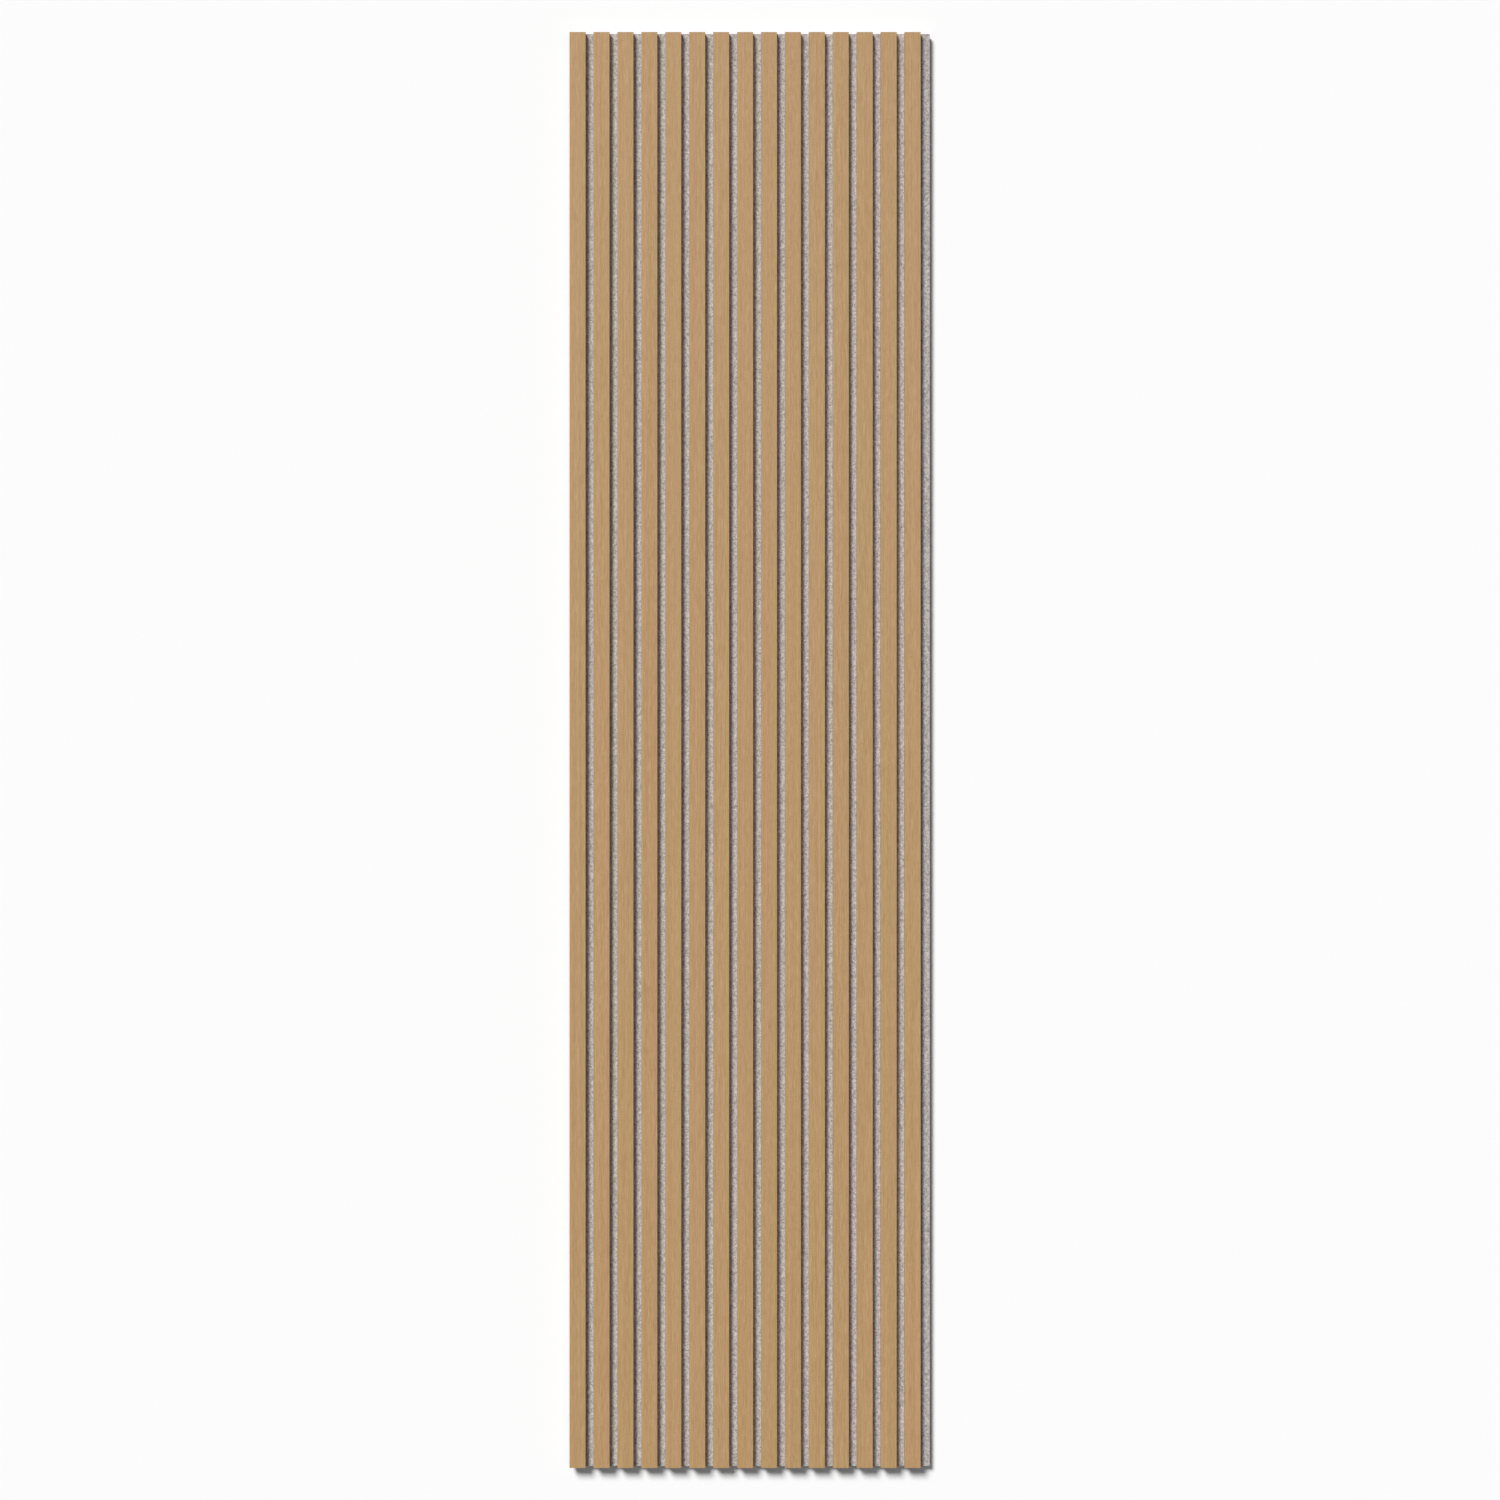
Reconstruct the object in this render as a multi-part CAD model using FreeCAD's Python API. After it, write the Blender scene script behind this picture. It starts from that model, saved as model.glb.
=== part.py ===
import FreeCAD, Part
import os

# An acoustic wall panel: upright veneered slats stapled to a felt board.
# Frame: +Z runs up the slats, +X points right as seen from the room, and the room is on the -Y side.
# The origin is the centre of the felt's back face, which lies on the wall. Sizes are in millimetres.

# Panel
panel_height = 2400.0
slat_count = 15

# Slats: a fibreboard core with veneer wrapped over its front and both flanks
slat_width = 27.0
slat_depth = 12.0
groove_width = 13.0
veneer_thickness = 0.5

# Felt board
felt_thickness = 9.0
# The first slat reaches this far past the felt's left edge, over the felt of the panel beside it
slat_overhang = 3.0

# Staples: driven from the back, with the crown along the slat's centre line
staple_rows = 6
staple_end_distance = 100.0
staple_crown_length = 12.8
staple_wire_width = 0.95
staple_wire_thickness = 0.65
# The crown is pressed this far below the felt's back face
staple_sink = 0.5
# The legs enter the slat core by this much and end in a chisel point
staple_grip = 5.0
staple_point = 0.9

# Places that follow from the sizes above
slat_pitch = slat_width + groove_width
felt_width = slat_count * slat_pitch
felt_left = -felt_width / 2
felt_front = -felt_thickness
slat_front = felt_front - slat_depth
first_slat_left = felt_left - slat_overhang
panel_bottom = -panel_height / 2
staple_row_pitch = (panel_height - 2 * staple_end_distance) / (staple_rows - 1)


def slat_left(index):
    """Left flank of a slat, counted from 0 at the left."""
    return first_slat_left + index * slat_pitch


def staple_places(index):
    """Centre (x, z) of each staple behind one slat."""
    centre = slat_left(index) + slat_width / 2
    first_row = panel_bottom + staple_end_distance
    return [(centre, first_row + row * staple_row_pitch) for row in range(staple_rows)]


def at_bottom(x, y):
    """Point in the plane of the panel's lower end."""
    return FreeCAD.Vector(x, y, panel_bottom)


def core_bar(index):
    """Fibreboard core of one slat, before the staples are driven."""
    corner = at_bottom(slat_left(index) + veneer_thickness, slat_front + veneer_thickness)
    core_width = slat_width - 2 * veneer_thickness
    core_depth = slat_depth - veneer_thickness
    return Part.makeBox(core_width, core_depth, panel_height, corner)


def whole_slat(index):
    """Outside of one slat, core and veneer together. The veneer bends round the core's two front corners."""
    left = slat_left(index)
    right = left + slat_width
    radius = veneer_thickness
    # How far the middle of a rounded edge lies inside the sharp corner, along each face
    arc_inset = radius * (1 - 0.5 ** 0.5)
    left_arc = Part.Arc(
        at_bottom(left, slat_front + radius),
        at_bottom(left + arc_inset, slat_front + arc_inset),
        at_bottom(left + radius, slat_front))
    right_arc = Part.Arc(
        at_bottom(right - radius, slat_front),
        at_bottom(right - arc_inset, slat_front + arc_inset),
        at_bottom(right, slat_front + radius))
    edges = [
        Part.LineSegment(at_bottom(left, felt_front), at_bottom(left, slat_front + radius)),
        left_arc,
        Part.LineSegment(at_bottom(left + radius, slat_front), at_bottom(right - radius, slat_front)),
        right_arc,
        Part.LineSegment(at_bottom(right, slat_front + radius), at_bottom(right, felt_front)),
        Part.LineSegment(at_bottom(right, felt_front), at_bottom(left, felt_front)),
    ]
    outline = Part.Wire([edge.toShape() for edge in edges])
    return Part.Face(outline).extrude(FreeCAD.Vector(0, 0, panel_height))


def slat_veneer(index):
    """Veneer skin over a core's front and both flanks, open at the back."""
    return whole_slat(index).cut(core_bar(index)).Solids[0]


def staple_shape(centre_x, centre_z, crown_back):
    """U of flat wire in the plane of its slat's centre line. crown_back is the crown's outer face."""
    crown_front = -staple_sink - staple_wire_thickness
    leg_tip = felt_front - staple_grip
    outer = staple_crown_length / 2
    inner = outer - staple_wire_thickness
    outline = [
        (crown_back, -outer),
        (crown_back, outer),
        (leg_tip, outer),
        (leg_tip + staple_point, inner),
        (crown_front, inner),
        (crown_front, -inner),
        (leg_tip + staple_point, -inner),
        (leg_tip, -outer),
    ]
    side = centre_x - staple_wire_width / 2
    corners = [FreeCAD.Vector(side, y, centre_z + z) for y, z in outline]
    face = Part.Face(Part.makePolygon(corners + corners[:1]))
    return face.extrude(FreeCAD.Vector(staple_wire_width, 0, 0))


def slat_staples(index):
    """Staples behind one slat."""
    return [staple_shape(x, z, -staple_sink) for x, z in staple_places(index)]


def staple_cuts(index):
    """Space that one slat's staples take up, open to the felt's back face."""
    return Part.makeCompound([staple_shape(x, z, 0.0) for x, z in staple_places(index)])


def slat_core(index):
    """Fibreboard core of one slat, with the holes its staples have made."""
    return core_bar(index).cut(staple_cuts(index)).Solids[0]


def felt_backing():
    """Felt board behind all the slats, pierced by the staples."""
    corner = FreeCAD.Vector(felt_left, felt_front, panel_bottom)
    board = Part.makeBox(felt_width, felt_thickness, panel_height, corner)
    cuts = Part.makeCompound([staple_cuts(index) for index in range(slat_count)])
    return board.cut(cuts).Solids[0]


def save(node, shape):
    """Write one piece to its own file."""
    shape.exportStep(os.path.join("parts", node + ".step"))
    print(node, len(shape.Solids), "solids", round(shape.Volume), "mm3")


os.makedirs("parts", exist_ok=True)
save("felt_backing", felt_backing())
for number in range(slat_count):
    save(f"slat_core_{number + 1:02d}", slat_core(number))
    save(f"slat_veneer_{number + 1:02d}", slat_veneer(number))
all_staples = [staple for number in range(slat_count) for staple in slat_staples(number)]
save("staples", Part.makeCompound(all_staples))
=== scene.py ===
# %% [markdown]
# # An acoustic slat wall panel
# The real panel is a felt board, 9 mm thick, with fifteen oak veneered slats stapled to its front. It hangs
# on a wall, and the felt in the grooves between the slats soaks up sound. The solid pieces come from the
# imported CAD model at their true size, so this lesson loads them first and never moves them. What is left
# for Blender is the soft felt, the bent wire of the staples, every finish, the light and the camera.

# %% Load the CAD pieces
import math
import random

import bmesh
import bpy
import numpy as np
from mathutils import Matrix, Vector


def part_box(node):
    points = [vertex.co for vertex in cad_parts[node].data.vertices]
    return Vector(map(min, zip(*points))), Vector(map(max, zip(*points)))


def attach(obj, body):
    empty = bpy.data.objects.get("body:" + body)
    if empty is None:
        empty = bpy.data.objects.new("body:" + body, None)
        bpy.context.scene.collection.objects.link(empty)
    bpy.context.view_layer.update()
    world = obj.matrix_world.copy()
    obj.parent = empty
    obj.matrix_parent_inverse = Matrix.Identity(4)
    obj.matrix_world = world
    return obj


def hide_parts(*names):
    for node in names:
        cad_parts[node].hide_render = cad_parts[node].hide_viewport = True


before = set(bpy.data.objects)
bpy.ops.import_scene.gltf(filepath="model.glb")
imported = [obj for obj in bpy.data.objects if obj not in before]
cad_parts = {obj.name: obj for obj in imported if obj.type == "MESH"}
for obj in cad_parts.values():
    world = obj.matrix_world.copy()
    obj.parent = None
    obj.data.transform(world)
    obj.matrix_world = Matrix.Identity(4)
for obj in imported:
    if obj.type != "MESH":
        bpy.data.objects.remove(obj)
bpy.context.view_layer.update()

# %% [markdown]
# ## Measures taken from the frame
# Places in this file follow from the CAD pieces: where the slats stand, how thick the felt is and where the
# wall lies. Reading them from the frame, and not typing them in again, keeps the looks and the solids
# together when a size changes. The room is on the -Y side and the slats run up +Z.

# %% Measure the slats and the felt
MM = 0.001

slat_names = sorted(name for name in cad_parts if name.startswith("slat_veneer_"))
core_names = sorted(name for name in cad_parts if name.startswith("slat_core_"))
slat_boxes = [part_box(name) for name in slat_names]
slat_centres = [(low.x + high.x) / 2 for low, high in slat_boxes]
slat_front = slat_boxes[0][0].y
felt_low, felt_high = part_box("felt_backing")
felt_width = felt_high.x - felt_low.x
felt_thickness = felt_high.y - felt_low.y
panel_height = felt_high.z - felt_low.z
panel_bottom = felt_low.z
print(len(slat_names), "slats, felt", round(felt_width, 4), "by", round(panel_height, 4), "m")

# %% [markdown]
# ## Camera
# The photograph looks straight at the panel from a little over four metres, at half its height. The felt's
# ends seem a touch shorter than the slats' because they lie deeper, and that small difference gives the
# distance. A long lens that far back keeps the slats upright and even, so the camera needs no shift.

# %% Set up the camera
IMAGE_PIXELS = 1500
PIXELS_PER_METRE = 598.36
CAMERA_DISTANCE = 4.41
CAMERA_X = -1.3 * MM
SENSOR = 36.0
UPRIGHT = (math.radians(90), 0, 0)

bpy.ops.object.camera_add(location=(CAMERA_X, slat_front - CAMERA_DISTANCE, 0.0), rotation=UPRIGHT)
camera = bpy.context.object
camera.name = "camera"
camera.data.sensor_width = SENSOR
camera.data.lens = SENSOR * PIXELS_PER_METRE * CAMERA_DISTANCE / IMAGE_PIXELS
bpy.context.scene.camera = camera
bpy.context.scene.view_settings.view_transform = "Standard"
print("lens", round(camera.data.lens, 2), "mm")

# %% [markdown]
# ## Helpers for finishes
# A finish is a small network of nodes. Adding nodes and wires one by one makes long listings, so the first
# helper adds one node, sets its options, and for each input either stores a value or draws a wire from
# another node's output. Everything after this reads like a recipe.

# %% Node helpers
def add_node(tree, kind, inputs=None, **options):
    """Add a node. Each input is given a plain value, or an output socket to be wired from."""
    made = tree.nodes.new(kind)
    for option, value in options.items():
        setattr(made, option, value)
    for socket, value in (inputs or {}).items():
        if isinstance(value, bpy.types.NodeSocket):
            tree.links.new(value, made.inputs[socket])
        else:
            made.inputs[socket].default_value = value
    return made


def new_finish(name):
    """An empty finish, with its node tree and its output node."""
    finish = bpy.data.materials.new(name)
    finish.use_nodes = True
    finish.node_tree.nodes.clear()
    output = add_node(finish.node_tree, "ShaderNodeOutputMaterial")
    return finish, finish.node_tree, output


print("node helpers ready")

# %% [markdown]
# ## Wall and floor
# The panel is shown on a plain white wall, which takes the soft shadows beside and below it. Those shadows
# reach a little further than a panel flat on the wall would throw them, so it hangs a few millimetres
# clear. A wall would hide the panel's back when the camera walks round, so this one is seen from the room
# only: its back face is transparent, and it neither blocks nor bounces light. A pale floor lies below, out
# of the main view.

# %% Build the stage
WALL_GAP = 5.0 * MM
FLOOR_DROP = 0.30
STAGE_REACH = 16.0
WALL_WHITE = (0.98, 0.98, 0.98, 1)
FLOOR_WHITE = (0.97, 0.97, 0.97, 1)


def one_sided_paint(name, colour):
    """Paint that shows on the front face and is clear from behind."""
    finish, tree, output = new_finish(name)
    paint = add_node(tree, "ShaderNodeBsdfDiffuse", {"Color": colour})
    clear = add_node(tree, "ShaderNodeBsdfTransparent")
    side = add_node(tree, "ShaderNodeNewGeometry")
    shown = add_node(
        tree, "ShaderNodeMixShader",
        {0: side.outputs["Backfacing"], 1: paint.outputs[0], 2: clear.outputs[0]})
    tree.links.new(shown.outputs[0], output.inputs["Surface"])
    return finish


def stage_plane(name, centre, turn, colour):
    """Large square that catches shadows and leaves the light alone."""
    bpy.ops.object.select_all(action="DESELECT")
    bpy.ops.mesh.primitive_plane_add(size=STAGE_REACH, location=centre, rotation=turn)
    plane = bpy.context.object
    plane.name = name
    plane.data.materials.append(one_sided_paint(name + "_paint", colour))
    plane.visible_shadow = False
    plane.visible_diffuse = False
    plane.visible_glossy = False
    plane.visible_transmission = False


floor_height = panel_bottom - FLOOR_DROP
wall_plane = felt_high.y + WALL_GAP
stage_plane("wall", (0, wall_plane, floor_height + STAGE_REACH / 2), UPRIGHT, WALL_WHITE)
stage_plane("floor", (0, wall_plane - STAGE_REACH / 2, floor_height), (0, 0, 0), FLOOR_WHITE)
print("wall at y", round(wall_plane, 4), "floor at z", round(floor_height, 3))

# %% [markdown]
# ## Lamps
# The shadows fall to the right and down and blur within two centimetres, so the main light is a broad lamp
# above and to the left of the camera. A sun lamp gives the same light all the way up the panel, and its
# angle sets the blur. A weak, very broad sun from where the camera stands lifts the shadows in the grooves.
# Four more suns, behind the wall, below and at both sides, light the faces that the main view can't see.
# Their light may not bounce, or it would come off the panel's back and brighten the shadows on the wall. A
# white surface square to a sun of strength pi renders just white, so levels are given as shares of that.

# %% Set up the lamps
def add_sun(name, travel, level, blur, bounces=True):
    """Sun lamp whose light travels one way. At level 1 a facing white surface is just white."""
    bpy.ops.object.light_add(type="SUN")
    lamp = bpy.context.object
    lamp.name = name
    lamp.rotation_mode = "QUATERNION"
    lamp.rotation_quaternion = Vector(travel).to_track_quat("-Z", "Y")
    lamp.data.energy = level * math.pi
    lamp.data.angle = math.radians(blur)
    if not bounces:
        lamp.data.cycles.max_bounces = 0


add_sun("key_light", travel=(0.50, 1, -0.805), level=1.152, blur=21)
add_sun("front_light", travel=(0, 1, 0), level=0.128, blur=60)
add_sun("back_light", travel=(-0.6, -1, -0.12), level=0.77, blur=30, bounces=False)
add_sun("under_light", travel=(0, -0.25, 1), level=0.4, blur=30, bounces=False)
add_sun("left_light", travel=(1, -0.06, -0.3), level=0.35, blur=4, bounces=False)
add_sun("right_light", travel=(-1, -0.06, -0.3), level=0.45, blur=4, bounces=False)
print(len(bpy.data.lights), "suns")

# %% [markdown]
# ## World
# A white studio adds a trace of light from all round. As one even background it would have to be either too
# bright for the shadows or too dark to look at, so it asks what kind of ray has come to it: the camera and
# reflections see plain white, and all other light gets only the trace.

# %% Set up the world
FILL_LEVEL = 0.03
WHITE = (1, 1, 1, 1)


def calculate(tree, operation, *values):
    """One step of arithmetic on numbers, each a plain value or an output socket."""
    return add_node(tree, "ShaderNodeMath", dict(enumerate(values)), operation=operation).outputs[0]


def remap(tree, value, old, new=(0.0, 1.0)):
    """Stretch the range old, from its first end to its second, to the range new, and stop at the ends."""
    stretched = add_node(
        tree, "ShaderNodeMapRange", {0: value, 1: old[0], 2: old[1], 3: new[0], 4: new[1]})
    return stretched.outputs[0]


world = bpy.data.worlds.new("studio")
bpy.context.scene.world = world
world.use_nodes = True
studio = world.node_tree
studio.nodes.clear()
ray = add_node(studio, "ShaderNodeLightPath")
mirrored = calculate(studio, "MAXIMUM", ray.outputs["Is Glossy Ray"], ray.outputs["Is Transmission Ray"])
seen = calculate(studio, "MAXIMUM", ray.outputs["Is Camera Ray"], mirrored)
level = remap(studio, seen, (0.0, 1.0), (FILL_LEVEL, 1.0))
sky = add_node(studio, "ShaderNodeBackground", {"Color": WHITE, "Strength": level})
add_node(studio, "ShaderNodeOutputWorld", {"Surface": sky.outputs[0]})
print("white studio with a fill of", FILL_LEVEL)

# %% [markdown]
# ## Oak veneer
# The slats are faced with thin sliced oak under a matt lacquer. Its look has several scales: growth rings
# that run up the slat as slanted lines or long arches, soft bands and streaks a few millimetres wide, finer
# fibres, and pores like short scratches. A picture of wood would repeat from slat to slat and turn soft
# from close up, so the wood is worked out from noise stretched along the grain. The grain isn't quite
# straight: it leans a little, and its fibres wander sideways by a few millimetres as they climb.

# %% Lay the grain
WANDER_CELL = (60 * MM, 300 * MM)
WANDER_NOISE = (0.2, 0.8)
WANDER_REACH = 4 * MM


def calculate_places(tree, operation, first, second):
    """One step of arithmetic on places, on all three axes at once."""
    return add_node(tree, "ShaderNodeVectorMath", {0: first, 1: second}, operation=operation).outputs[0]


def grain_noise(tree, place, cell, detail):
    """Noise in cells of so many metres across and along the grain, from 0 to 1 with its middle at 0.5."""
    across, along = cell
    scaled = calculate_places(tree, "MULTIPLY", place, (1 / across, 1 / across, 1 / along))
    noise = add_node(tree, "ShaderNodeTexNoise", {"Vector": scaled, "Scale": 1.0, "Detail": detail})
    return noise.outputs["Fac"]


def lay_grain(tree, place, shift, lean):
    """Places moved and leaned for one slat, and how far its fibres wander sideways there."""
    straight = add_node(
        tree, "ShaderNodeMapping", {"Vector": place, "Location": shift, "Rotation": (0, lean, 0)}).outputs[0]
    wave = grain_noise(tree, straight, WANDER_CELL, detail=1)
    wander = remap(tree, wave, WANDER_NOISE, (-WANDER_REACH, WANDER_REACH))
    sideways = add_node(tree, "ShaderNodeCombineXYZ", {"X": wander}).outputs[0]
    return straight, sideways


print("fibres wander", round(WANDER_REACH / MM, 1), "mm to either side")

# %% [markdown]
# ## Growth rings
# A tree adds a shell of wood each year. A slat is a flat cut through many such shells, which shows them as
# lines where it meets them steeply and as arches where it only grazes them. The Wave texture draws shells
# round a point. Squeezing the height before it looks the shells up draws them out along the slat, and the
# fibres' wander bends them too.

# %% Growth rings
RING_SPACING = 4.5 * MM
RING_STRETCH = 0.018
WAVE_TEXTURE_PERIOD = 2 * math.pi / 20


def growth_rings(tree, place, heart, sideways):
    """Shells round the heart of the log, from 0 where a ring starts to 1 where it ends."""
    to_heart = (-heart[0], -heart[1], -heart[2] * RING_STRETCH)
    from_heart = add_node(
        tree, "ShaderNodeMapping", {"Vector": place, "Location": to_heart, "Scale": (1, 1, RING_STRETCH)})
    bent = calculate_places(tree, "ADD", from_heart.outputs[0], sideways)
    rings = add_node(
        tree, "ShaderNodeTexWave",
        {"Vector": bent, "Scale": WAVE_TEXTURE_PERIOD / RING_SPACING, "Distortion": 1.6, "Detail": 2.0,
         "Detail Scale": 1.2},
        wave_type="RINGS", rings_direction="SPHERICAL", wave_profile="SAW")
    return rings.outputs["Fac"]


print("a growth ring every", round(RING_SPACING / MM, 1), "mm")

# %% [markdown]
# ## Tone of the oak
# How light or dark the wood is at a point is one number, near 0 for most of it. Each ring ends in a thin
# dark line, which a power of the ring's 0 to 1 gives: it stays near 0 for most of the way and rises at the
# end. Bands, streaks and fibres each add a layer of noise. Adding layers up, and colouring the sum once,
# lets each layer have its own strength without changing the colours.

# %% Tone of the oak
BAND_CELL = (2.8 * MM, 1800 * MM)
STREAK_CELL = (2.4 * MM, 60 * MM)
BAND_STRENGTH = 0.75
STREAK_STRENGTH = 0.45
FIBRE_STRENGTH = 1.8
RING_LINE_POWER = 3.0
RING_LINE_DEPTH = 0.18
BETWEEN_RING_LINES = 0.045
NOISE_MIDDLE = 0.5


def add_layers(tree, tone, layers):
    """Add layers of noise to a tone, each centred on 0 and multiplied by its strength."""
    for layer, strength in layers:
        centred = calculate(tree, "SUBTRACT", layer, NOISE_MIDDLE)
        tone = calculate(tree, "MULTIPLY_ADD", centred, strength, tone)
    return tone


def oak_tone(tree, straight, grain, rings, fibres):
    """Tone of the wood, above 0 where it is lighter and below 0 where it is darker."""
    ring_lines = calculate(tree, "POWER", rings, RING_LINE_POWER)
    tone = calculate(tree, "MULTIPLY_ADD", ring_lines, -RING_LINE_DEPTH, BETWEEN_RING_LINES)
    bands = grain_noise(tree, straight, BAND_CELL, detail=2)
    streaks = grain_noise(tree, grain, STREAK_CELL, detail=2)
    return add_layers(
        tree, tone, ((bands, BAND_STRENGTH), (streaks, STREAK_STRENGTH), (fibres, FIBRE_STRENGTH)))


print("oak bands", round(BAND_CELL[0] / MM, 1), "mm wide, streaks", round(STREAK_CELL[0] / MM, 1), "mm")

# %% [markdown]
# ## Colour of the oak
# Oak turns from yellowish to pinkish over long stretches of a board, and the tone then shades it to a dark
# or a light brown. Pores are the tree's vessels cut open along their length, short dark scratches that
# crowd the start of each ring, and a few broader flecks lie between them. Noise that is cut off near its
# top gives both, because only the highest peaks stay.

# %% Colour of the oak
OAK_DARK = (0.372, 0.216, 0.089, 1)
OAK_LIGHT = (0.545, 0.356, 0.183, 1)
OAK_PINK = (0.472, 0.276, 0.140, 1)
OAK_YELLOW = (0.431, 0.286, 0.119, 1)
OAK_TONE_REACH = 0.6
HUE_CELL = (5 * MM, 900 * MM)
HUE_NOISE = (0.3, 0.7)
FLECK_CELL = (2.6 * MM, 7 * MM)
FLECK_NOISE = (0.70, 0.80)
FLECK_SHARE = 0.7
PORE_CELL = (0.24 * MM, 5 * MM)
PORE_NOISE = (0.58, 0.70)
PORE_CROWDING = (0.75, 0.2)
OAK_PORE = (0.27, 0.145, 0.055, 1)


def blend_colours(tree, share, first, second):
    """Colour that goes from first to second as share goes from 0 to 1."""
    mixed = add_node(tree, "ShaderNodeMix", {0: share, 6: first, 7: second}, data_type="RGBA")
    return mixed.outputs[2]


def shade(tree, colour, tone, reach, light, dark):
    """Blend a colour to light as the tone rises to reach, and to dark as it falls as far below 0."""
    colour = blend_colours(tree, remap(tree, tone, (0.0, reach)), colour, light)
    return blend_colours(tree, remap(tree, tone, (0.0, -reach)), colour, dark)


def pore_depth(tree, grain, rings):
    """How deep a pore is, from 0 between pores to the crowding at that part of the ring."""
    pores = remap(tree, grain_noise(tree, grain, PORE_CELL, detail=1), PORE_NOISE)
    return calculate(tree, "MULTIPLY", pores, remap(tree, rings, (0.0, 1.0), PORE_CROWDING))


def oak_colour(tree, straight, grain, tone, pores):
    """Yellowish to pinkish wood, shaded by its tone, with pores and flecks."""
    hue = remap(tree, grain_noise(tree, straight, HUE_CELL, detail=2), HUE_NOISE)
    colour = blend_colours(tree, hue, OAK_YELLOW, OAK_PINK)
    colour = shade(tree, colour, tone, OAK_TONE_REACH, OAK_LIGHT, OAK_DARK)
    colour = blend_colours(tree, pores, colour, OAK_PORE)
    flecks = grain_noise(tree, grain, FLECK_CELL, detail=1)
    return blend_colours(tree, remap(tree, flecks, FLECK_NOISE, (0.0, FLECK_SHARE)), colour, OAK_DARK)


print("pores", round(PORE_CELL[0] / MM, 2), "by", round(PORE_CELL[1] / MM, 1), "mm")

# %% [markdown]
# ## Lacquered oak
# The pieces above come together in one finish. Pores are also dips that the thin lacquer doesn't fill, and
# fibres stand up a little, so both go into a Bump node, which only tilts the light. The lacquer is duller
# where the fibres rise.

# %% Oak finish
FIBRE_CELL = (1.1 * MM, 19 * MM)
FIBRE_RISE = 0.5
FIBRE_NOISE = (0.3, 0.7)
LACQUER_ROUGHNESS = (0.46, 0.58)


def relief(tree, height, strength, distance):
    """Normals that show a height as relief and leave the mesh as it is."""
    bump = add_node(tree, "ShaderNodeBump", {"Height": height, "Strength": strength, "Distance": distance})
    return bump.outputs[0]


def set_surface(tree, output, inputs):
    """Wire a surface with the given inputs to a finish's output."""
    surface = add_node(tree, "ShaderNodeBsdfPrincipled", inputs)
    tree.links.new(surface.outputs[0], output.inputs["Surface"])


def oak_finish(name, heart, shift, lean):
    """Oak whose growth rings are centred on heart, with the finer grain shifted and leaned."""
    finish, tree, output = new_finish(name)
    place = add_node(tree, "ShaderNodeTexCoord").outputs["Object"]
    straight, sideways = lay_grain(tree, place, shift, lean)
    grain = calculate_places(tree, "ADD", straight, sideways)
    rings = growth_rings(tree, place, heart, sideways)
    fibres = grain_noise(tree, grain, FIBRE_CELL, detail=3)
    pores = pore_depth(tree, grain, rings)
    tone = oak_tone(tree, straight, grain, rings, fibres)
    height = calculate(tree, "SUBTRACT", calculate(tree, "MULTIPLY", fibres, FIBRE_RISE), pores)
    set_surface(tree, output, {
        "Base Color": oak_colour(tree, straight, grain, tone, pores),
        "Roughness": remap(tree, fibres, FIBRE_NOISE, LACQUER_ROUGHNESS),
        "Specular IOR Level": 0.3,
        "Normal": relief(tree, height, strength=0.35, distance=0.12 * MM)})
    return finish


print("oak fibres", round(FIBRE_CELL[0] / MM, 1), "by", round(FIBRE_CELL[1] / MM, 1), "mm")

# %% [markdown]
# ## Fifteen cuts of oak
# Veneer strips come from different places in a log, so no two slats match. Each slat gets its own copy of
# the finish: the heart of its rings lies elsewhere, and its grain is moved and leaned a little. The draws
# are seeded, so every run cuts the same strips.

# %% Dress the slats
HEART_ASIDE = 24 * MM
HEART_BEHIND = (3 * MM, 14 * MM)
HEART_UP = 1.6
CUT_ASIDE = 3.0
CUT_UP = 9.0
LARGEST_LEAN = math.radians(0.12)


def dress(node_name, finish):
    """Give a CAD piece a finish in place of the plain one it came with."""
    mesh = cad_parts[node_name].data
    mesh.materials.clear()
    mesh.materials.append(finish)


log = random.Random(15)


def draw(reach):
    """Draw a number from minus reach to reach."""
    return log.uniform(-reach, reach)


for slat_name, centre in zip(slat_names, slat_centres):
    heart = (centre + draw(HEART_ASIDE), slat_front + log.uniform(*HEART_BEHIND), draw(HEART_UP))
    cut_from = (draw(CUT_ASIDE), draw(CUT_ASIDE), draw(CUT_UP))
    oak = oak_finish("oak_" + slat_name[-2:], heart, cut_from, draw(LARGEST_LEAN))
    dress(slat_name, oak)
print("oak on", len(slat_names), "slats")

# %% [markdown]
# ## Fibreboard
# Inside the veneer each slat is medium-density fibreboard, which shows only at the sawn ends and on the
# back. It is a mat of fine brown wood fibres, pressed harder and so darker near its two faces. A fine
# speckle and larger clumps give the fibres, and the depth through the board gives the darker skins.

# %% Fibreboard finish
BOARD_PALE = (0.36, 0.235, 0.135, 1)
BOARD_DARK = (0.20, 0.118, 0.062, 1)
SKIN_START = 0.55
SKIN_SHARE = 0.45
SPECKLES_PER_METRE = 1400
SPECKLE_NOISE = (0.30, 0.70)
SPECKLE_SHARE = 0.55
CLUMPS_PER_METRE = 260
CLUMP_NOISE = (0.35, 0.75)
CLUMP_SHARE = 0.25

core_low, core_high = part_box(core_names[0])
core_middle = (core_low.y + core_high.y) / 2
core_half = (core_high.y - core_low.y) / 2


def round_noise(tree, place, cell, detail, output="Fac"):
    """Noise with cells of so many metres in every direction."""
    noise = add_node(tree, "ShaderNodeTexNoise", {"Vector": place, "Scale": 1 / cell, "Detail": detail})
    return noise.outputs[output]


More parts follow.
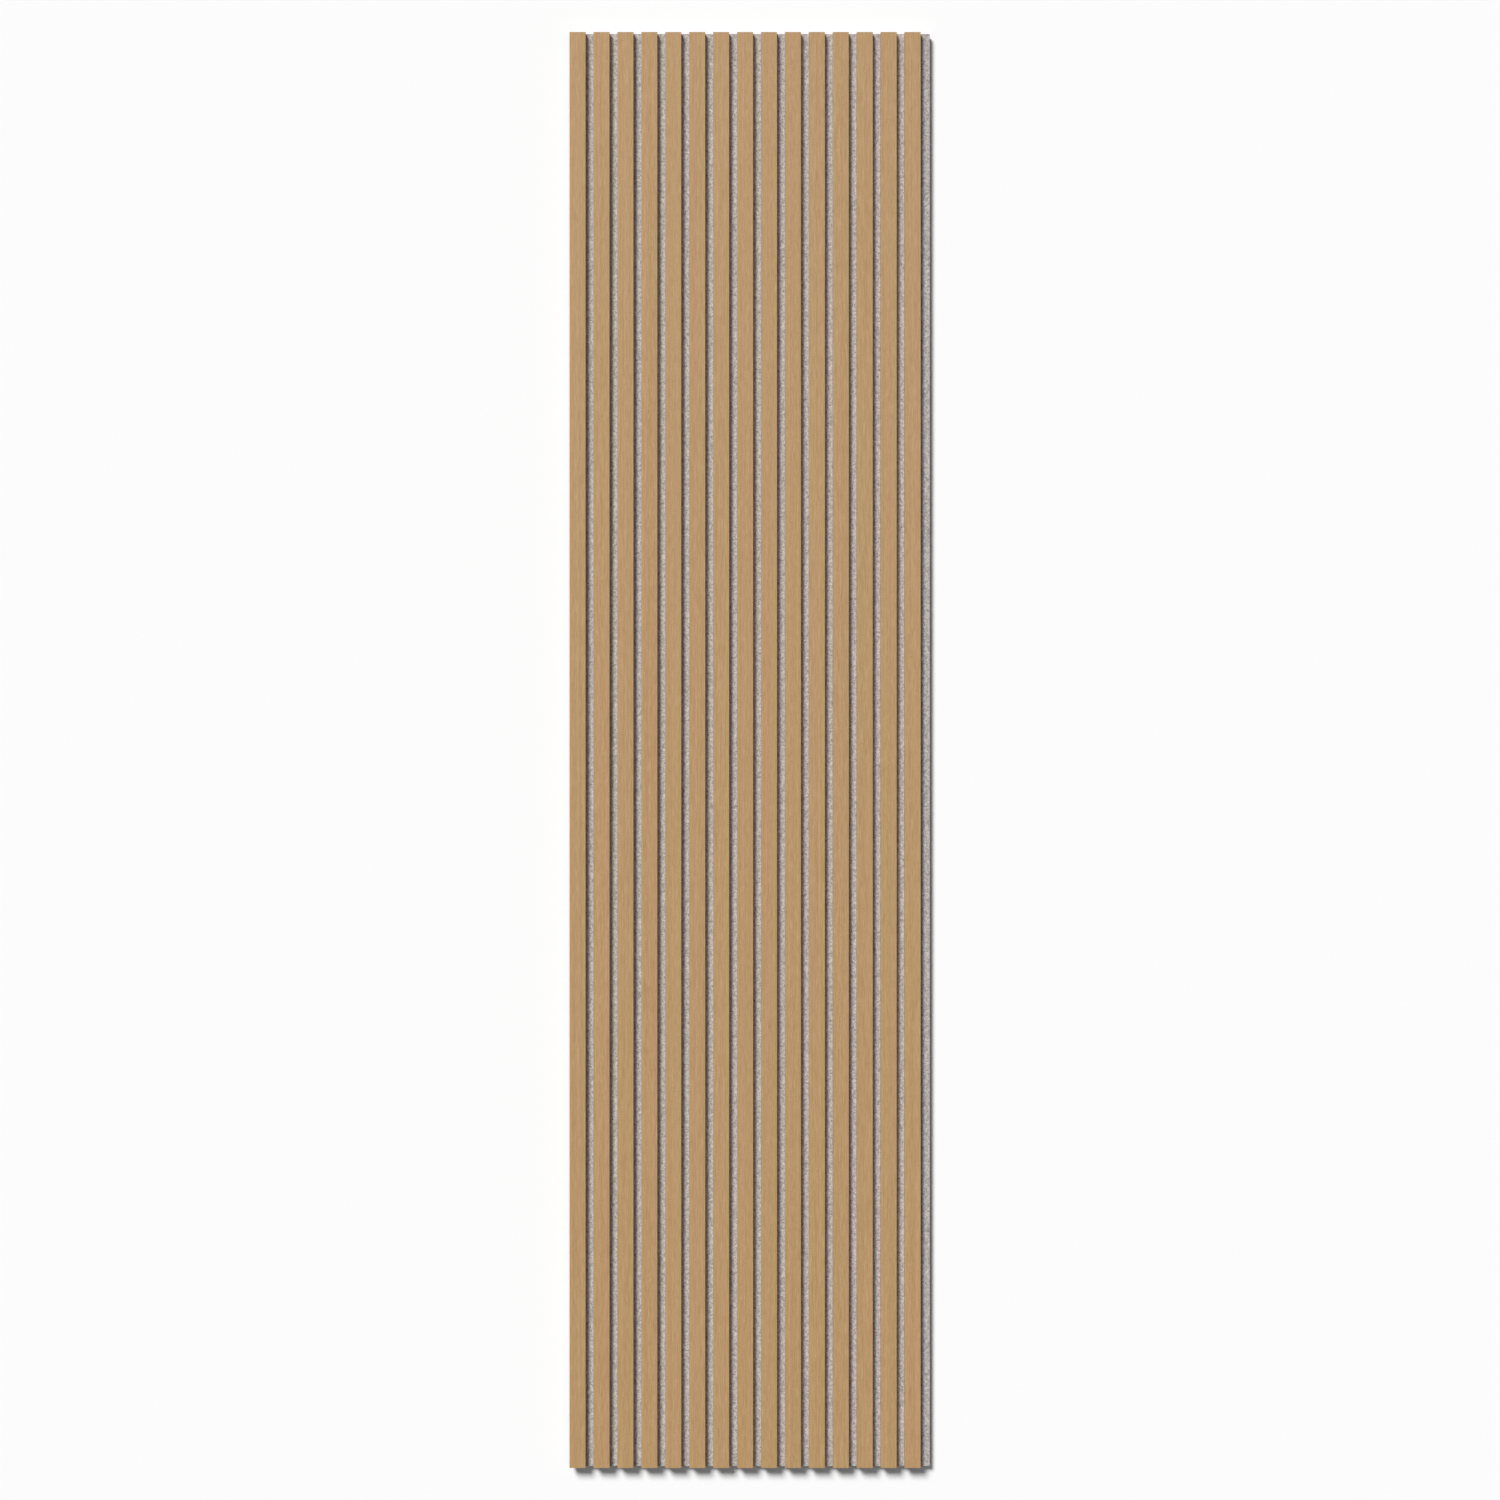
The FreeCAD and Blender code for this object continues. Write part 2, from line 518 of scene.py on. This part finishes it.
def board_skin(tree, place):
    """Share of dark that the board's hard front and back skins add."""
    depth = add_node(tree, "ShaderNodeSeparateXYZ", {0: place}).outputs["Y"]
    from_middle = calculate(tree, "ABSOLUTE", calculate(tree, "SUBTRACT", depth, core_middle))
    return remap(tree, from_middle, (SKIN_START * core_half, core_half), (0.0, SKIN_SHARE))


def fibreboard_finish():
    """Sawn fibreboard: speckled brown, darker towards its front and back skins."""
    finish, tree, output = new_finish("fibreboard")
    place = add_node(tree, "ShaderNodeTexCoord").outputs["Object"]
    speckle = round_noise(tree, place, 1 / SPECKLES_PER_METRE, detail=4)
    clumps = round_noise(tree, place, 1 / CLUMPS_PER_METRE, detail=2)
    grainy = remap(tree, speckle, SPECKLE_NOISE, (0.0, SPECKLE_SHARE))
    clumpy = remap(tree, clumps, CLUMP_NOISE, (0.0, CLUMP_SHARE))
    share = calculate(tree, "ADD", calculate(tree, "ADD", board_skin(tree, place), grainy), clumpy)
    set_surface(tree, output, {
        "Base Color": blend_colours(tree, share, BOARD_PALE, BOARD_DARK),
        "Roughness": 0.85,
        "Specular IOR Level": 0.2,
        "Normal": relief(tree, speckle, strength=0.5, distance=0.2 * MM)})
    return finish


board = fibreboard_finish()
for core_name in core_names:
    dress(core_name, board)
print("fibreboard on", len(core_names), "cores")

# %% [markdown]
# ## Where the staples sit
# Staples are shot through the felt from behind, in level rows, one behind each slat in every row. The felt
# is pressed in around them, so their places are needed twice: for the dimples in the felt and for the wire.

# %% Staple places
STAPLE_ROWS = 6
CROWN_LENGTH = 12.8 * MM

staple_low, staple_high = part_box("staples")
row_heights = np.linspace(
    staple_low.z + CROWN_LENGTH / 2, staple_high.z - CROWN_LENGTH / 2, STAPLE_ROWS)
staple_places = [(centre, float(height)) for centre in slat_centres for height in row_heights]
print(len(staple_places), "staples in", STAPLE_ROWS, "rows")

# %% [markdown]
# ## Felt board
# The board is pressed polyester felt: flat, but never dead flat, with edges that the knife leaves slightly
# soft, and a dimple where each staple's crown is drawn in. A cube can't show that, so it starts as a fine
# grid the size of the back face. The grid is extruded to the board's thickness, and its rims are bevelled.

# %% Model the felt board
FELT_CELL = 20 / 3 * MM
RIM_BEVEL = 0.35 * MM
RIM_CLOSE = 0.1 * MM


def on_rim(first, second):
    """True for an edge that runs round the felt's front or back face."""
    for axis, low, high in ((0, felt_low.x, felt_high.x), (2, felt_low.z, felt_high.z)):
        for side in (low, high):
            if abs(first[axis] - side) < RIM_CLOSE and abs(second[axis] - side) < RIM_CLOSE:
                return abs(first.y - second.y) < RIM_CLOSE
    return False


bpy.ops.object.select_all(action="DESELECT")
bpy.ops.mesh.primitive_grid_add(
    x_subdivisions=round(felt_width / FELT_CELL), y_subdivisions=round(panel_height / FELT_CELL), size=1,
    location=((felt_low.x + felt_high.x) / 2, felt_high.y, panel_bottom + panel_height / 2),
    rotation=UPRIGHT)
felt = bpy.context.object
felt.name = "felt_board"
felt.scale = (felt_width, panel_height, 1)
bpy.ops.object.transform_apply(location=True, rotation=True, scale=True)

bpy.ops.object.mode_set(mode="EDIT")
bpy.ops.mesh.select_all(action="SELECT")
bpy.ops.mesh.extrude_region_move(TRANSFORM_OT_translate={"value": (0, -felt_thickness, 0)})
bpy.ops.mesh.select_all(action="SELECT")
bpy.ops.mesh.normals_make_consistent(inside=False)
bpy.ops.mesh.select_all(action="DESELECT")
shape = bmesh.from_edit_mesh(felt.data)
for edge in shape.edges:
    edge.select_set(on_rim(edge.verts[0].co, edge.verts[1].co))
bmesh.update_edit_mesh(felt.data)
bpy.ops.mesh.bevel(offset=RIM_BEVEL, segments=2, affect="EDGES")
felt.update_from_editmode()
print("felt board", len(felt.data.polygons), "faces")

# %% [markdown]
# ## Finer felt round the staples
# A dimple is under two centimetres wide, too small for the grid to show as a round dip. A finer grid all
# over would cost many faces that nobody sees, so only the faces of the back that lie near a staple are
# divided.

# %% Divide the back more finely round the staples
DIMPLE_REACH = 9 * MM
FAR_FROM_CROWNS = 1.0


def from_crowns(points):
    """Distance of each (x, y, z) point from the nearest staple's crown, in the plane of the board."""
    nearest = np.full(len(points), FAR_FROM_CROWNS)
    for centre, height in staple_places:
        past_crown = np.maximum(np.abs(points[:, 2] - height) - CROWN_LENGTH / 2, 0)
        nearest = np.minimum(nearest, np.hypot(points[:, 0] - centre, past_crown))
    return nearest


bpy.ops.mesh.select_all(action="DESELECT")
bpy.ops.mesh.select_mode(type="FACE")
shape = bmesh.from_edit_mesh(felt.data)
middles = np.array([face.calc_center_median() for face in shape.faces])
at_staple = (from_crowns(middles) < DIMPLE_REACH) & (middles[:, 1] > felt_high.y - RIM_BEVEL / 2)
for face, near in zip(shape.faces, at_staple):
    face.select_set(bool(near))
bmesh.update_edit_mesh(felt.data)
bpy.ops.mesh.subdivide(number_cuts=2)
bpy.ops.object.mode_set(mode="OBJECT")
felt.data.calc_loop_triangles()
print(int(at_staple.sum()), "faces divided, now", len(felt.data.loop_triangles), "triangles")

# %% [markdown]
# ## Lumps
# Pressed felt is faintly uneven all over. A Displace modifier with a cloudy texture gives that. With its
# middle level at 1 it only pushes inwards, so the board keeps its size and the slats stay seated on it.

# %% Press lumps into the felt
LUMP_SIZE = 14 * MM
LUMP_DEPTH = 0.20 * MM


def work_on(piece):
    """Make a piece the only selected and active one."""
    bpy.ops.object.select_all(action="DESELECT")
    piece.select_set(True)
    bpy.context.view_layer.objects.active = piece


lumps = bpy.data.textures.new("felt_lumps", "CLOUDS")
lumps.noise_scale = LUMP_SIZE
lumps.noise_depth = 2
lumpy = felt.modifiers.new("lumps", "DISPLACE")
lumpy.texture = lumps
lumpy.texture_coords = "LOCAL"
lumpy.strength = LUMP_DEPTH
lumpy.mid_level = 1.0
work_on(felt)
bpy.ops.object.modifier_apply(modifier=lumpy.name)
print("lumps of up to", round(LUMP_DEPTH / MM, 2), "mm")

# %% [markdown]
# ## Dimples
# Each staple pulls the back of the felt in. How much is worked out at every corner of the mesh, from 1
# under the crown to 0 at the dimple's edge, with a smooth start and end. Stored as a vertex group, these
# shares steer a second Displace modifier, which pushes inwards by the depth times the share.

# %% Press a dimple round each staple
DIMPLE_DEPTH = 1.1 * MM
DIMPLE_FLOOR = 0.8 * MM
SMOOTH_ANGLE = math.radians(40)

corners = np.zeros(len(felt.data.vertices) * 3)
felt.data.vertices.foreach_get("co", corners)
corners = corners.reshape(-1, 3)
dimple = np.clip((DIMPLE_REACH - from_crowns(corners)) / (DIMPLE_REACH - DIMPLE_FLOOR), 0, 1)
dimple = dimple ** 2 * (3 - 2 * dimple)
dimple[corners[:, 1] < felt_high.y - felt_thickness / 2] = 0
dimples = felt.vertex_groups.new(name="dimples")
for index in np.nonzero(dimple)[0]:
    dimples.add([int(index)], float(dimple[index]), "REPLACE")
dimpled = felt.modifiers.new("dimples", "DISPLACE")
dimpled.vertex_group = dimples.name
dimpled.strength = -DIMPLE_DEPTH
dimpled.mid_level = 0.0
work_on(felt)
bpy.ops.object.modifier_apply(modifier=dimpled.name)
bpy.ops.object.shade_smooth_by_angle(angle=SMOOTH_ANGLE)
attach(felt, "root")
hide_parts("felt_backing")
print("deepest dimple", round(DIMPLE_DEPTH / MM, 2), "mm, at", len(staple_places), "staples")

# %% [markdown]
# ## Felt fibres
# Heathered felt is a mix of pale and dark grey fibres pressed at random, so it looks speckled from a step
# away and hairy from close up. A round noise alone would look like clouds, so most of the pattern has a
# direction. The hairs are thin contour lines of a stretched noise: the line where the noise passes its
# middle value is long, thin and curved, like a fibre. Several such layers, turned in the plane of the
# board, lie across each other. All of it is warped a little, so that no fibre is straight.

# %% Draw the felt's fibres
HAIR_CELL = (0.5 * MM, 7 * MM)
HAIR_LINE = 0.06
CURL_SIZE = 7 * MM
CURL_REACH = 3 * MM


def curl_places(tree, place):
    """Places warped by a soft noise, so that nothing drawn from them is straight."""
    swirl = round_noise(tree, place, CURL_SIZE, detail=1, output="Color")
    warp = calculate_places(tree, "MULTIPLY", swirl, (CURL_REACH, CURL_REACH, CURL_REACH))
    return calculate_places(tree, "ADD", place, warp)


def strands(tree, place, turn, cell, detail):
    """Stretched noise, turned by so many degrees in the plane of the board."""
    turned = add_node(tree, "ShaderNodeMapping", {"Vector": place, "Rotation": (0, math.radians(turn), 0)})
    return grain_noise(tree, turned.outputs[0], cell, detail)


def hairs(tree, place, turns):
    """Thin curved fibres that run at the given turns, 1 on a fibre and 0 between them."""
    drawn = 0.0
    for turn in turns:
        wave = strands(tree, place, turn, HAIR_CELL, detail=1)
        off_line = calculate(tree, "ABSOLUTE", calculate(tree, "SUBTRACT", wave, NOISE_MIDDLE))
        line = remap(tree, off_line, (0.0, HAIR_LINE), (1.0, 0.0))
        drawn = calculate(tree, "MAXIMUM", drawn, line)
    return drawn


print("felt fibres about", round(HAIR_CELL[1] / MM, 1), "mm long")

# %% [markdown]
# ## Felt colour
# Fibres of one shade lie together in tufts, which are wider stretched noise. With a round speckle and
# faint, broad clouds they add up to a tone that shades the felt, as in the oak. Under it the grey drifts
# from warm to cool, and single dark and pale hairs lie on top.

# %% Colour the felt
FELT_WARM = (0.421, 0.371, 0.352, 1)
FELT_COOL = (0.390, 0.377, 0.371, 1)
FELT_PALE = (0.698, 0.650, 0.633, 1)
FELT_DARK = (0.135, 0.121, 0.116, 1)
TUFT_TURNS = (10, 70, 130)
TUFT_CELL = (2.4 * MM, 7 * MM)
TUFT_STRENGTH = 1.2
HEATHER_SIZE = 4 * MM
HEATHER_STRENGTH = 1.2
CLOUD_SIZE = 22 * MM
CLOUD_STRENGTH = 0.12
FELT_TONE_REACH = 0.38
WARMTH_SIZE = 3.4 * MM
WARMTH_NOISE = (0.35, 0.65)
DARK_HAIR_SHARE = 0.6
PALE_HAIR_SHARE = 0.65


def felt_tone(tree, place, curled):
    """Tone of the felt, pale above 0 and dark below."""
    layers = [(strands(tree, curled, turn, TUFT_CELL, detail=1), TUFT_STRENGTH) for turn in TUFT_TURNS]
    layers.append((round_noise(tree, place, HEATHER_SIZE, detail=2), HEATHER_STRENGTH))
    layers.append((round_noise(tree, place, CLOUD_SIZE, detail=2), CLOUD_STRENGTH))
    return add_layers(tree, 0.0, layers)


def felt_colour(tree, place, tone, dark_hairs, pale_hairs):
    """Warm to cool grey, shaded by its tone, with single hairs on top."""
    warmth = remap(tree, round_noise(tree, place, WARMTH_SIZE, detail=2), WARMTH_NOISE)
    colour = blend_colours(tree, warmth, FELT_COOL, FELT_WARM)
    colour = shade(tree, colour, tone, FELT_TONE_REACH, FELT_PALE, FELT_DARK)
    dark_share = calculate(tree, "MULTIPLY", dark_hairs, DARK_HAIR_SHARE)
    pale_share = calculate(tree, "MULTIPLY", pale_hairs, PALE_HAIR_SHARE)
    colour = blend_colours(tree, dark_share, colour, FELT_DARK)
    return blend_colours(tree, pale_share, colour, FELT_PALE)


print("tufts", round(TUFT_CELL[0] / MM, 1), "by", round(TUFT_CELL[1] / MM, 1), "mm")

# %% [markdown]
# ## Felt finish
# Three layers of dark hairs and three of pale ones lie across each other, and the pale ones also stand up a
# little in the relief. Felt is quite dull, and a little sheen lifts its edges, as light does on loose fibre
# ends.

# %% Felt finish
PALE_HAIR_TURNS = (14, 58, 97)
DARK_HAIR_TURNS = (35, 80, 149)
HAIR_RISE = 0.25


def felt_finish():
    """Pressed grey felt with curled fibres and a heather speckle."""
    finish, tree, output = new_finish("grey_felt")
    place = add_node(tree, "ShaderNodeTexCoord").outputs["Object"]
    curled = curl_places(tree, place)
    pale_hairs = hairs(tree, curled, PALE_HAIR_TURNS)
    dark_hairs = hairs(tree, curled, DARK_HAIR_TURNS)
    tone = felt_tone(tree, place, curled)
    raised = calculate(tree, "MULTIPLY_ADD", pale_hairs, HAIR_RISE, tone)
    set_surface(tree, output, {
        "Base Color": felt_colour(tree, place, tone, dark_hairs, pale_hairs),
        "Roughness": 0.95,
        "Specular IOR Level": 0.1,
        "Sheen Weight": 0.08,
        "Sheen Roughness": 0.6,
        "Normal": relief(tree, raised, strength=0.4, distance=0.5 * MM)})
    return finish


felt.data.materials.append(felt_finish())
print("felt finish on", felt.name)

# %% [markdown]
# ## One staple
# A staple is flat galvanised wire bent twice. Bending is what a spin does: the wire's end face is drawn out
# along the first leg, spun a quarter turn round the bend, drawn out along the crown, spun again, and drawn
# out along the second leg. Its two tips are then slanted to chisel points.

# %% Draw and bend the wire
WIRE_WIDTH = 0.95 * MM
WIRE_THICKNESS = 0.65 * MM
BEND_RADIUS = 0.8 * MM
BEND_STEPS = 3

crown_line = staple_high.y - WIRE_THICKNESS / 2
leg_line = CROWN_LENGTH / 2 - WIRE_THICKNESS / 2
leg_tip = staple_low.y
leg_length = crown_line - BEND_RADIUS - leg_tip
bend_line = leg_line - BEND_RADIUS


def draw_out(x, y, z):
    """Extrude the selected end face of the wire."""
    bpy.ops.mesh.extrude_region_move(TRANSFORM_OT_translate={"value": (x, y, z)})


def bend(centre_z):
    """Spin the selected end face a quarter turn round the X axis."""
    bpy.ops.mesh.spin(
        steps=BEND_STEPS, angle=math.radians(90), axis=(1, 0, 0),
        center=(0, crown_line - BEND_RADIUS, centre_z))


bpy.ops.object.select_all(action="DESELECT")
bpy.ops.mesh.primitive_plane_add(size=1, location=(0, leg_tip, leg_line), rotation=(math.radians(-90), 0, 0))
staple = bpy.context.object
staple.name = "staple"
staple.scale = (WIRE_WIDTH, WIRE_THICKNESS, 1)
bpy.ops.object.transform_apply(location=True, rotation=True, scale=True)
bpy.ops.object.mode_set(mode="EDIT")
bpy.ops.mesh.select_all(action="SELECT")
draw_out(0, leg_length, 0)
bend(bend_line)
draw_out(0, 0, -2 * bend_line)
bend(-bend_line)
draw_out(0, -leg_length, 0)
staple.update_from_editmode()
print("bent wire has", len(staple.data.polygons), "faces")

# %% Point the staple's tips
POINT_LENGTH = 0.9 * MM
WELD_DISTANCE = 0.01 * MM

# Only the inner corners of both tips are lifted, so the outer ones become the points
bpy.ops.mesh.select_all(action="DESELECT")
shape = bmesh.from_edit_mesh(staple.data)
for corner in shape.verts:
    corner.select_set(corner.co.y < leg_tip + POINT_LENGTH / 2 and abs(corner.co.z) < leg_line)
shape.select_flush_mode()
bmesh.update_edit_mesh(staple.data)
bpy.ops.transform.translate(value=(0, POINT_LENGTH, 0))
bpy.ops.mesh.select_all(action="SELECT")
bpy.ops.mesh.remove_doubles(threshold=WELD_DISTANCE)
bpy.ops.mesh.normals_make_consistent(inside=False)
bpy.ops.object.mode_set(mode="OBJECT")
print("one staple has", len(staple.data.polygons), "faces")

# %% [markdown]
# ## All the staples
# The other staples are copies of the first, each turned by a hair because no gun shoots them all in line.
# The first is then taken away, and the copies are joined to one piece, as they are one group in the CAD
# model.

# %% Copy the staple to every place
LARGEST_TWIST = math.radians(1.5)

gun = random.Random(90)
copies = []
for centre, height in staple_places:
    work_on(staple)
    bpy.ops.object.duplicate(linked=False)
    copy = bpy.context.object
    copy.location = (centre, 0, height)
    copy.rotation_euler = (0, gun.uniform(-LARGEST_TWIST, LARGEST_TWIST), 0)
    copies.append(copy)
bpy.data.objects.remove(staple)

wire = copies[0]
work_on(wire)
for copy in copies:
    copy.select_set(True)
bpy.ops.object.transform_apply(location=True, rotation=True, scale=True)
bpy.ops.object.join()
wire.name = "wire_staples"
bpy.ops.object.shade_smooth_by_angle(angle=SMOOTH_ANGLE)
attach(wire, "root")
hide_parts("staples")
print(len(copies), "staples joined,", len(wire.data.polygons), "faces")

# %% [markdown]
# ## Galvanised steel
# Staple wire is drawn steel with a thin coat of zinc. It is a bright, slightly bluish grey with fine lines
# along the crown and cloudy patches where the zinc has dulled, so its roughness varies more than its
# colour.

# %% Steel finish
ZINC_BRIGHT = (0.66, 0.66, 0.67, 1)
ZINC_DULL = (0.44, 0.44, 0.46, 1)
DULL_PATCH_SIZE = 1.6 * MM
DULL_PATCH_NOISE = (0.35, 0.65)
DRAWN_LINE_CELL = (0.08 * MM, 3 * MM)
ZINC_ROUGHNESS = (0.28, 0.46)


def zinc_finish():
    """Zinc coated wire with dull patches and the fine lines that drawing leaves."""
    finish, tree, output = new_finish("staple_steel")
    place = add_node(tree, "ShaderNodeTexCoord").outputs["Object"]
    patches = remap(tree, round_noise(tree, place, DULL_PATCH_SIZE, detail=3), DULL_PATCH_NOISE)
    lines = grain_noise(tree, place, DRAWN_LINE_CELL, detail=2)
    set_surface(tree, output, {
        "Base Color": blend_colours(tree, patches, ZINC_BRIGHT, ZINC_DULL),
        "Metallic": 1.0,
        "Roughness": remap(tree, patches, (0.0, 1.0), ZINC_ROUGHNESS),
        "Normal": relief(tree, lines, strength=0.3, distance=0.03 * MM)})
    return finish


wire.data.materials.append(zinc_finish())
print("zinc on", wire.name)
